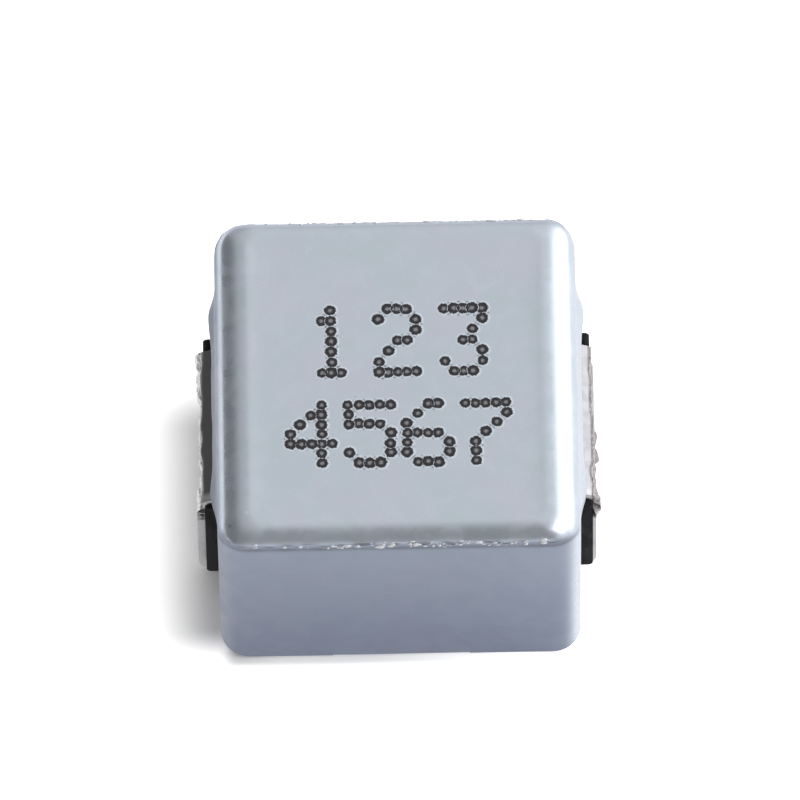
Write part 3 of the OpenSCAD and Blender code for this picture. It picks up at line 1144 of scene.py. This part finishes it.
        # painted shade over the left lip and along the right window's edge
        lip_shade = np.where(x < 0, 0.65 + 0.25 * bell(z, self.window_top, 0.3 * MM),
                        0.6 * bell(z, self.window_top, 0.12 * MM))
        return np.maximum(line, proud * lip_shade)


@dataclass
class Terminal:
    """A strip terminal: tongue, outer leg and solder foot, folded from one tinned strip."""

    side: Side
    seed: Seed
    finish: TinnedStrip
    reach: float                      # outer face of the leg
    half: float                       # half of the strip's width
    top: float                        # upper face of the arm
    taper: float = 0.0                # how much less the leg reaches out at its rear end
    shift: float = 0.0                # how far back the strip sits
    tooth: float = 0.14 * MM          # depth of the torn teeth
    thick: float = 0.3 * MM
    bend: float = 0.5 * MM            # of the foot
    tongue: float = 4.21 * MM
    foot: float = 4.5 * MM
    droop_from: float = 6.45 * MM     # where the shoulder begins to slope
    droop: float = math.radians(24.0)
    droop_ease: float = 0.3 * MM      # length over which the slope sets in
    knee_from: float = 7.15 * MM      # where the shoulder turns down into the leg
    ear: float = 0.5 * MM             # length of the front end that keeps its full reach
    most: float = 0.25 * MM           # deepest bite
    frayed: float = 0.05 * MM         # width of the torn band on the shoulder
    lean: float = 0.18 * MM           # how far the leg is set back under its torn edge
    front_lean: float = 1.0           # share of that at the leg's front edge
    lean_run: float = 0.8 * MM        # length over which it grows to the full amount
    curl: float = 0.13 * MM           # how far the front end runs on over the boss
    hang: float = 0.36 * MM           # how far it hangs down there
    torn_over: float = 0.12 * MM      # length over which the torn band sets in
    torn_to: float = 1.7 * MM         # how far below the arm it ends, and over what length
    torn_fade: float = 0.7 * MM
    lean_from: float = 0.75 * MM      # how far below the arm the leg begins to be set back
    lean_over: float = 0.5 * MM
    flat_rows: int = 6                # rows of points on the tongue, on the leg and across
    leg_rows: int = 32
    columns: int = 150

    @property
    def name(self) -> str:
        """Name of the piece."""
        return f"strip_{self.side.name.lower()}"

    @property
    def node(self) -> str:
        """Name of the node that it stands for."""
        return f"terminal_{self.side.name.lower()}"

    def path(self) -> tuple[np.ndarray, np.ndarray, np.ndarray]:
        """The strip's outer line, from the tongue's end to the foot's.

        It runs level, eases into a slope, turns down through the knee's arc into the leg, and
        through a quarter circle into the foot. The slope's drop adds up the tangent of its
        angle; the knee is an arc from the slope to upright that ends at the full reach.

        Returns:
            Distances from the middle, heights and outward directions (out, up), row by row.
        """
        slope_x = stretches((self.droop_from, self.droop_from + self.droop_ease, 6),
                            (self.droop_from + self.droop_ease, self.knee_from, 8))
        angle = self.droop * ease((slope_x - self.droop_from) / self.droop_ease)
        fall = np.tan((angle[1:] + angle[:-1]) / 2) * np.diff(slope_x)
        slope_z = self.top - np.concatenate([[0.0], np.cumsum(fall)])
        radius = (self.reach - self.knee_from) / (1.0 - math.sin(self.droop))
        knee = np.linspace(self.droop, math.pi / 2, 17)[1:]
        knee_x = self.reach - radius * (1.0 - np.sin(knee))
        knee_z = slope_z[-1] - radius * (math.cos(self.droop) - np.cos(knee))
        low = np.linspace(0.0, math.pi / 2, 9)
        flat, leg = self.flat_rows, self.leg_rows
        leg_z = knee_z[-1] - (knee_z[-1] - self.bend) * np.linspace(0.0, 1.0, leg + 2) ** 1.6
        in_x = self.reach - self.bend
        x = np.concatenate([np.linspace(self.tongue, self.droop_from, flat + 1)[:-1], slope_x,
                            knee_x, np.full(leg, self.reach), in_x + self.bend * np.cos(low),
                            np.linspace(in_x, self.foot, flat + 1)[1:]])
        z = np.concatenate([np.full(flat, self.top), slope_z, knee_z, leg_z[1:-1],
                            self.bend * (1.0 - np.sin(low)), np.zeros(flat)])
        turned = np.concatenate([np.zeros(flat), angle, knee, np.full(leg, math.pi / 2),
                                 math.pi / 2 + low, np.full(flat, math.pi)])
        return x, z, np.stack([np.sin(turned), np.cos(turned)], axis=1)

    def tear(self, y: np.ndarray, out: np.ndarray, z: np.ndarray) -> np.ndarray:
        """How torn the strip is: fully from the shoulder's outer part to the top of the leg.

        Args:
            y: Place across the strip.
            out: Distance from the middle.
            z: Height.

        Returns:
            Values between 0 and 1.
        """
        wander = 0.05 * MM * roughen(y / MM * 1.9, 0.0 * y, self.seed)
        begin = ease((out - self.knee_from - wander) / self.torn_over)
        return begin * ease((z - self.top + self.torn_to) / self.torn_fade)

    def teeth(self, y: np.ndarray, down: np.ndarray) -> np.ndarray:
        """How far the torn edge falls short of the strip's full reach.

        It adds three random fields across the strip: broad bites with steep sides, teeth whose
        valleys are sharpened by taking the field's size, and a fine one. The front end keeps
        its full reach as an ear, and a taper grows towards the rear.

        Args:
            y: Place across the strip.
            down: Place along the strip.

        Returns:
            Distances.
        """
        across, along = y / MM, down / MM
        broad = ease((roughen(across * 1.1, 0.0 * across, self.seed + 1) - 0.05) / 0.3)
        middle = 1.0 - np.abs(roughen(across * 2.3, along * 0.8, self.seed + 2))
        fine = roughen(across * 7.0, along * 6.0, self.seed + 3)
        depth = self.tooth * (0.25 + 0.75 * broad + 0.8 * middle ** 3 + 0.25 * fine)
        front = 1.0 - ease((y + self.half) / self.ear)
        rear = (y + self.half) / (2 * self.half)
        return depth * (1.0 - front) + self.taper * rear + 0.05 * MM * front * (0.5 + fine / 2)

    def build(self) -> bpy.types.Object:
        """Makes the strip as a sheet of rows along its path, tears its edge and thickens it.

        Below the torn edge the leg leans in by its own amount, and less at its front edge. The
        last stretch across, at the front, turns down by a quarter ellipse over the shoulder and
        fades out below the knee.

        Returns:
            The finished piece, with the attributes "torn" and "shoulder".
        """
        x, z, way = self.path()
        x, z, out, up = x[:, None], z[:, None], way[:, :1], way[:, 1:]
        y = np.concatenate([np.linspace(-self.half - self.curl, -self.half, 7)[:-1],
                            np.linspace(-self.half, self.half, self.columns)])[None, ::self.side]
        lean = self.lean * ease((self.top - self.lean_from - z) / self.lean_over)
        behind = ease((y + self.half) / self.lean_run)
        lean = lean * ease(out * 2 - 0.5) * (self.front_lean + (1.0 - self.front_lean) * behind)
        short = np.minimum(self.tear(y, x, z) * self.teeth(y, z - x), self.most - lean)
        past = np.clip((-self.half - y) / self.curl, 0.0, 1.0)
        upper = ease((x - self.droop_from) / (0.2 * MM))
        upper = upper * ease((z - self.top + 1.1 * MM) / (0.3 * MM))
        hang = self.hang * (1.0 - np.sqrt(1.0 - past ** 2)) * upper
        across = np.where(y < -self.half, -self.half + (y + self.half) * upper, y)
        points = np.stack(np.broadcast_arrays(self.side * (x - (short + lean) * out),
                                              across + self.shift, z - short * up - hang), axis=2)
        piece = mesh_from_grids(self.name, [Grid(points)])
        thicken(piece, self.thick, 55.0)
        paint(piece, "torn", self.torn_at)
        paint(piece, "shoulder", self.shoulder_shade_at)
        return piece

    def torn_at(self, spots: np.ndarray) -> np.ndarray:
        """How torn the finished strip is at each of its points.

        Args:
            spots: Points, one row each.

        Returns:
            Values between 0 and 1.
        """
        return self.tear(spots[:, 1] - self.shift, np.abs(spots[:, 0]) + self.frayed, spots[:, 2])

    def shoulder_shade_at(self, spots: np.ndarray) -> np.ndarray:
        """Where the finished strip's shoulder gets its painted shade.

        Args:
            spots: Points, one row each.

        Returns:
            Values between 0 and 1.
        """
        behind = ease((spots[:, 1] - self.shift + self.half - 0.1 * MM) / (0.25 * MM))
        return ease((spots[:, 2] - self.top + 0.75 * MM) / (0.1 * MM)) * (0.35 + 0.65 * behind)


@dataclass(frozen=True)
class FigureRow:
    """A row of figures on the top."""

    text: str
    middle: Span
    pitch: float                      # between two figures
    step: Span                        # between two dots, across and down


@dataclass
class Marking:
    """Two rows of plain figures on the top, each a dot matrix of small laser craters."""

    can: ShieldCan
    rows: tuple[FigureRow, ...]
    dot: float = 0.225 * MM           # radius of a crater's rim
    waver: float = 0.07               # share of its radius by which an outline wavers
    stray: float = 0.012 * MM         # how far a crater lies off its place
    rise: float = 0.006 * MM          # how far the craters lie above the sheet
    deep: float = 0.003 * MM
    corners: int = 16

    # Ways out of the rings round a centre: the crater, and the pale ring of heated tin.
    RINGS = (0.25, 0.5, 0.75, 1.0, 1.2, 1.5)

    # Seven rows of five dots for each figure, from the top row down.
    FIGURES = {
        "1": "00100 01100 00100 00100 00100 00100 01110",
        "2": "01110 10001 00001 00110 01000 10000 11111",
        "3": "11111 00001 00010 00110 00001 10001 01110",
        "4": "00010 00110 01010 10010 11111 00010 00010",
        "5": "11111 10000 11110 00001 00001 10001 01110",
        "6": "00110 01000 10000 11110 10001 10001 01110",
        "7": "11111 00001 00010 00100 01000 01000 01000",
    }

    def centres(self, row: FigureRow) -> np.ndarray:
        """Centres of the dots of a row: those that are 1 in the figures' seven by five places.

        Args:
            row: The row.

        Returns:
            Centres, one row each.
        """
        bits = np.array([[list(dots) for dots in self.FIGURES[c].split()] for c in row.text]) == "1"
        figure, down, across = np.nonzero(bits)
        x = row.middle[0] + (figure - (len(row.text) - 1) / 2) * row.pitch
        return np.stack([x + (across - 2) * row.step[0],
                         row.middle[1] + (3 - down) * row.step[1]], axis=1)

    def build(self) -> bpy.types.Object:
        """Makes one crater on each centre.

        A crater is rings of points round its centre. Its height follows one minus the bell of
        the way out, and its outline wavers by a random share of its radius.

        Returns:
            The finished piece, with a UV map "dot" that gives the way out from each centre.
        """
        middle = np.concatenate([self.centres(row) for row in self.rows])
        chance = np.random.default_rng(Seed.DOTS)
        count, n = len(middle), self.corners
        ring = np.array(self.RINGS)
        turn = np.linspace(0.0, 2 * math.pi, n, endpoint=False)
        waver = 1.0 + self.waver * chance.uniform(-1.0, 1.0, (count, 1, n))
        size = self.dot * chance.uniform(0.88, 1.06, (count, 1, 1)) * waver
        shift = middle + chance.normal(0.0, self.stray, (count, 2))
        x = shift[:, 0, None, None] + size * ring[None, :, None] * np.cos(turn)
        y = shift[:, 1, None, None] + size * ring[None, :, None] * np.sin(turn)
        share = np.max(np.abs(shift) / self.can.top_half(), axis=1)
        rise = self.rise * chance.uniform(0.8, 1.2, (count, 1, 1))
        level = self.can.top_level(share)[:, None, None] + rise
        fall = (rise - 0.1 * self.rise) * ease((ring - 1.0) / 0.2)[None, :, None]
        z = level - self.deep * bell(ring, 0.0, 0.6)[None, :, None] - fall + 0.0 * x
        rings = np.stack([x, y, z], axis=3).reshape(count, -1, 3)
        pole = np.concatenate([shift, (level - self.deep).reshape(count, 1)], axis=1)[:, None]
        points = np.concatenate([pole, rings], axis=1)
        stride = points.shape[1]
        here, there = np.arange(n), (np.arange(n) + 1) % n
        fan = np.stack([np.zeros(n, int), 1 + here, 1 + there], axis=1)
        loop = np.concatenate([np.stack([1 + k * n + here, 1 + (k + 1) * n + here,
                                         1 + (k + 1) * n + there, 1 + k * n + there], axis=1)
                               for k in range(len(ring) - 1)])
        start = (np.arange(count) * stride)[:, None, None]
        mesh = bpy.data.meshes.new("marking")
        mesh.from_pydata(points.reshape(-1, 3).tolist(), [],
                         (start + fan).reshape(-1, 3).tolist() + (start + loop).reshape(-1, 4).tolist())
        self.map_dots(mesh, count, ring, turn)
        mesh.shade_smooth()
        return link_piece("marking", mesh)

    @staticmethod
    def map_dots(mesh: bpy.types.Mesh, count: int, share: np.ndarray, turn: np.ndarray) -> None:
        """Gives each corner the way out from its crater's centre, as a UV map.

        Args:
            mesh: The craters.
            count: Number of craters.
            share: Way out of each ring, from 0 to 1.
            turn: Angle of each point of a ring.
        """
        ring = np.stack([share[:, None] * np.cos(turn), share[:, None] * np.sin(turn)], axis=2)
        spots = np.tile(np.concatenate([[[0.0, 0.0]], ring.reshape(-1, 2)]), (count, 1))
        corner = np.empty(len(mesh.loops), np.int32)
        mesh.loops.foreach_get("vertex_index", corner)
        layer = mesh.uv_layers.new(name="dot")
        layer.uv.foreach_set("vector", spots[corner].astype(np.float32).ravel())


# ------------------------------------------------------------------ studio

@dataclass(frozen=True)
class Shade:
    """A place on the floor that glows less: how much less, and where that sets in and ends."""

    depth: float
    x_in: Span                        # all four in millimetres
    x_out: Span
    y_in: Span
    y_out: Span
    left_over: float = 0.0            # share that is left beyond x_out


@dataclass
class Studio:
    """Pale floor, a soft lamp, a quiet surrounding and the camera."""

    white: Colour = (0.84, 0.84, 0.85)
    glow: float = 0.38                # how bright the floor looks in a mirror
    gap: float = 0.005 * MM           # between the part's feet and the floor
    floor_half: float = 1.5
    left_shade: Shade = Shade(0.87, (-10.2, -6.6), (-6.2, -4.0), (-7.2, -5.4), (2.8, 5.2))
    front_shade: Shade = Shade(0.62, (-6.8, -6.0), (-2.0, 6.0), (-7.25, -6.8), (-6.6, -6.0), 0.2)
    left_level: float = 0.22          # how bright the surroundings are on each side
    front_level: float = 0.12
    back_level: float = 0.54
    right_level: float = 1.1
    right_front: float = 0.5          # share of that in front
    left_fade: Span = (-0.72, -0.33)  # where they change, as a part of the way to that side
    middle_fade: Span = (-0.22, 0.04)
    middle_share: float = 0.42
    front_fade: Span = (-0.52, 0.43)
    right_fade: Span = (0.3, 0.65)
    lamp_toward: tuple[float, float, float] = (0.65, -0.2, 0.74)
    lamp_distance: float = 1.4
    lamp_side: float = 1.0
    lamp_level: float = 1.15          # how bright its face looks, where 1 is white
    lens: float = 900.0
    sensor: float = 36.0
    view_width: float = 29.25 * MM
    elevation: float = math.radians(61.0)
    roll: float = math.radians(-1.0)
    aim: tuple[float, float, float] = (0.11 * MM, 1.10 * MM, 5.24 * MM)

    def floor(self) -> bpy.types.Object:
        """Makes the floor, a large flat sheet just under the part.

        Returns:
            The floor.
        """
        mesh = bpy.data.meshes.new("floor")
        x, y = np.meshgrid(*[[-self.floor_half, self.floor_half]] * 2)
        points = np.stack([x, y, np.full_like(x, -self.gap)], axis=2).reshape(-1, 3)
        mesh.from_pydata(points.tolist(), [], [(0, 1, 3, 2)])
        piece = link_piece("floor", mesh)
        dress(piece, self.floor_paint())
        return piece

    @staticmethod
    def shade_mask(wires: Wiring, x: bpy.types.NodeSocket, y: bpy.types.NodeSocket,
                   shade: Shade) -> bpy.types.NodeSocket:
        """Mask of a shade: its depth times how far each coordinate is past its start and end.

        Args:
            wires: The material's wiring.
            x: First coordinate.
            y: Second coordinate.
            shade: The shade.

        Returns:
            The mask.
        """
        def passed(value: bpy.types.NodeSocket, span: Span, *ends: float) -> bpy.types.NodeSocket:
            """How far a coordinate is past a span in millimetres."""
            return wires.remap(value, span[0] * MM, span[1] * MM, *ends)

        across = wires.calc("MULTIPLY", passed(x, shade.x_in),
                            passed(x, shade.x_out, 1.0, shade.left_over))
        along = wires.calc("MULTIPLY", passed(y, shade.y_in), passed(y, shade.y_out, 1.0, 0.0))
        return wires.calc("MULTIPLY", wires.calc("MULTIPLY", across, along), shade.depth)

    def floor_paint(self) -> bpy.types.Material:
        """Makes white paint that glows for what looks at it, and so renders as white.

        Close to the part, on its left and along its front, it glows less, so that the part's
        shadow shows there.

        Returns:
            The material.
        """
        material, wires, shader, place = new_material("white floor")
        spot = wires.add("SeparateXYZ")
        wires.join(place, spot.inputs[0])
        masks = [self.shade_mask(wires, spot.outputs[0], spot.outputs[1], shade)
                 for shade in (self.left_shade, self.front_shade)]
        lit = wires.calc("SUBTRACT", 1.0, wires.calc("ADD", *masks))
        path = wires.add("LightPath")
        direct = wires.calc("MULTIPLY", path.outputs["Is Camera Ray"], lit)
        mirrored = wires.calc("MAXIMUM", path.outputs["Is Glossy Ray"],
                              path.outputs["Is Transmission Ray"])
        strength = wires.calc("MULTIPLY_ADD", mirrored, self.glow, direct)
        wires.feed(shader, Base_Color=(*self.white, 1.0), Roughness=0.9,
                   Emission_Color=(1, 1, 1, 1), Emission_Strength=strength)
        return material

    def world(self) -> None:
        """Sets the light from all around: bright on the right, pale behind, dim on the left."""
        world = bpy.data.worlds.new("studio")
        world.use_nodes = True
        wires = Wiring(world.node_tree)
        way = wires.add("SeparateXYZ")
        wires.join(wires.add("TexCoord").outputs["Generated"], way.inputs[0])
        x, y = way.outputs[0], way.outputs[1]
        across = wires.calc("ADD", wires.remap(x, *self.left_fade, 0.0, 1.0 - self.middle_share),
                            wires.remap(x, *self.middle_fade, 0.0, self.middle_share))
        behind = wires.remap(y, *self.front_fade, self.front_level, self.back_level)
        right = wires.calc("MULTIPLY", wires.remap(x, *self.right_fade, 0.0, self.right_level),
                           wires.remap(y, *self.front_fade, self.right_front, 1.0))
        level = wires.calc("MULTIPLY_ADD", across, behind, self.left_level)
        sky = wires.feed(wires.add("Background"), Color=(1.0, 1.0, 1.0, 1.0),
                         Strength=wires.calc("ADD", level, right))
        wires.join(sky.outputs[0], wires.add("OutputWorld").inputs[0])
        bpy.context.scene.world = world

    @staticmethod
    def hold(name: str, data: bpy.types.ID, place: Vector, away: Vector,
             roll: float = 0.0) -> bpy.types.Object:
        """Puts a lamp or a camera at a place, facing the other way.

        Args:
            name: Its name.
            data: The lamp or the camera.
            place: Where it stands.
            away: Direction to its back.
            roll: Turn round its own axis.

        Returns:
            Its object.
        """
        holder = bpy.data.objects.new(name, data)
        turn = away.to_track_quat("Z", "Y").to_matrix().to_4x4() @ Matrix.Rotation(roll, 4, "Z")
        holder.matrix_world = Matrix.Translation(place) @ turn
        bpy.context.scene.collection.objects.link(holder)
        return holder

    def lamp(self) -> None:
        """Adds the soft square lamp, which faces the part from the upper right."""
        lamp = bpy.data.lights.new("key", "AREA")
        lamp.shape = "RECTANGLE"
        lamp.size = lamp.size_y = self.lamp_side
        lamp.energy = math.pi * self.lamp_side ** 2 * self.lamp_level
        away = Vector(self.lamp_toward).normalized()
        self.hold("key", lamp, away * self.lamp_distance, away)

    def camera(self) -> None:
        """Sets the camera, so far off that upright and level edges stay nearly parallel."""
        data = bpy.data.cameras.new("camera")
        data.lens, data.sensor_width = self.lens, self.sensor
        distance = self.view_width * self.lens / self.sensor
        data.clip_start, data.clip_end = distance / 10, distance * 10
        away = Vector((0.0, -math.cos(self.elevation), math.sin(self.elevation)))
        bpy.context.scene.camera = self.hold("camera", data, Vector(self.aim) + away * distance,
                                             away, self.roll)

    def build(self) -> None:
        """Sets up the whole studio."""
        self.floor()
        self.world()
        self.lamp()
        self.camera()
        bpy.context.scene.view_settings.view_transform = "Standard"


# ------------------------------------------------------------------ the whole part

@dataclass
class Inductor:
    """The dressed part: its new pieces and the finishes of the solids that stay."""

    can: ShieldCan
    terminals: tuple[Terminal, Terminal]
    marking: Marking

    def build(self) -> None:
        """Makes every piece in order, dresses it and lets it ride on the part."""
        effects = Effects()
        for make, finish, slot, nodes in (
                (self.can.build, TinPlate(), "tinned_can", ["shield_can"]),
                (self.can.build_burrs, GlintingTinBurr(), "tinned_can", []),
                *[(each.build, each.finish, "tinned_strip", [each.node]) for each in self.terminals],
                (self.marking.build, BurntDot(), "tinned_can", [])):
            piece = make()
            dress(piece, finish.build(effects))
            enrol(piece, slot, *nodes)
        for node, finish in (("core_block", PressedPowder()), ("winding", EnamelledCopper())):
            dress(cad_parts[node], finish.build(effects))
            LOG.info("%s: dressed", node)


def main() -> None:
    """Builds the part, to the sizes that the frame gives, and its studio."""
    logging.basicConfig(level=logging.INFO, format="%(message)s")
    can_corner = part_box("shield_can")[1]
    can = ShieldCan(half_d=can_corner.y, height=can_corner.z)
    # The strips are shaded and lit copies of one tinned strip: the left one's dark shoulder is painted
    # shade and its near-white torn band a painted highlight; the right one's shoulder is lighter
    # painted shade and its torn band a brownish tin.
    dark = TinnedStrip("shaded strip", silver=(0.66, 0.66, 0.67), shoulder=(0.17, 0.17, 0.172),
                       torn=(0.92, 0.92, 0.91))
    light = TinnedStrip("tinned strip", silver=(0.68, 0.68, 0.70), shoulder=(0.52, 0.515, 0.54),
                        torn=(0.42, 0.395, 0.39))
    strip_corner = tuple(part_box("terminal_right")[1])
    terminals = (Terminal(Side.LEFT, Seed.STRIP_LEFT, dark, *strip_corner, shift=0.22 * MM,
                          front_lean=0.2),
                 Terminal(Side.RIGHT, Seed.STRIP_RIGHT, light, *strip_corner, shift=0.17 * MM,
                          taper=0.12 * MM, frayed=0.15 * MM))
    rows = (FigureRow("123", (0.05 * MM, 1.51 * MM), 2.41 * MM, (0.34 * MM, 0.435 * MM)),
            FigureRow("4567", (0.05 * MM, -2.34 * MM), 2.12 * MM, (0.38 * MM, 0.40 * MM)))
    Inductor(can, terminals, Marking(can, rows)).build()
    Studio().build()


if __name__ == "__main__":
    main()
